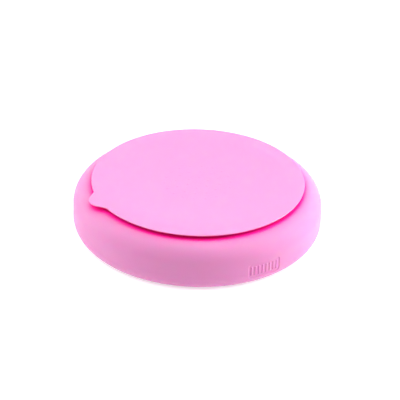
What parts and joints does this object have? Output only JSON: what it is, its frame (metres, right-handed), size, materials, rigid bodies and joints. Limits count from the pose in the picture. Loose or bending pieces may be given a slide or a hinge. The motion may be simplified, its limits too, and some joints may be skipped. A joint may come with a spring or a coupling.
{
  "type": "suction bowl",
  "caption": "Low round silicone child's bowl with curled rim and a push-fit suction base with pull tab, stored upside down on its rim.",
  "frame": {"origin": "centre of the bowl's rim plane, on the surface that the upturned bowl stands on", "axes": "+Z points out of the suction face, so the bowl is upside down; -X runs through the pull tab. For use it is turned half a turn about X."},
  "size_m": [0.18, 0.18, 0.04],
  "materials": {
    "bowl_silicone": "matte",
    "base_silicone": "matte"
  },
  "bodies": {
    "bowl": {"bowl": "bowl_silicone"},
    "hub": {"base_hub": "base_silicone"},
    "web": {"neck_web": "base_silicone"},
    "disc": {"suction_disc": "base_silicone"},
    "tab": {"pull_tab": "base_silicone"}
  },
  "joints": [
    {"name": "base_release", "type": "slide", "parent": "bowl", "child": "hub", "axis": [0, 0, 1], "range_m": [0, 0.015]},
    {"name": "base_turn", "type": "hinge", "parent": "hub", "child": "web", "pos_m": [0, 0, 0.0343], "axis": [0, 0, 1], "continuous": true},
    {"name": "disc_press", "type": "slide", "parent": "web", "child": "disc", "axis": [0, 0, -1], "range_m": [0, 0.0014], "stiffness_N_per_m": 3000, "deforming": ["neck_web"]},
    {"name": "tab_lift", "type": "hinge", "parent": "disc", "child": "tab", "pos_m": [-0.07635, 0, 0.0395], "axis": [0, -1, 0], "range_deg": [-75, 15], "stiffness_Nm_per_rad": 0.02}
  ]
}
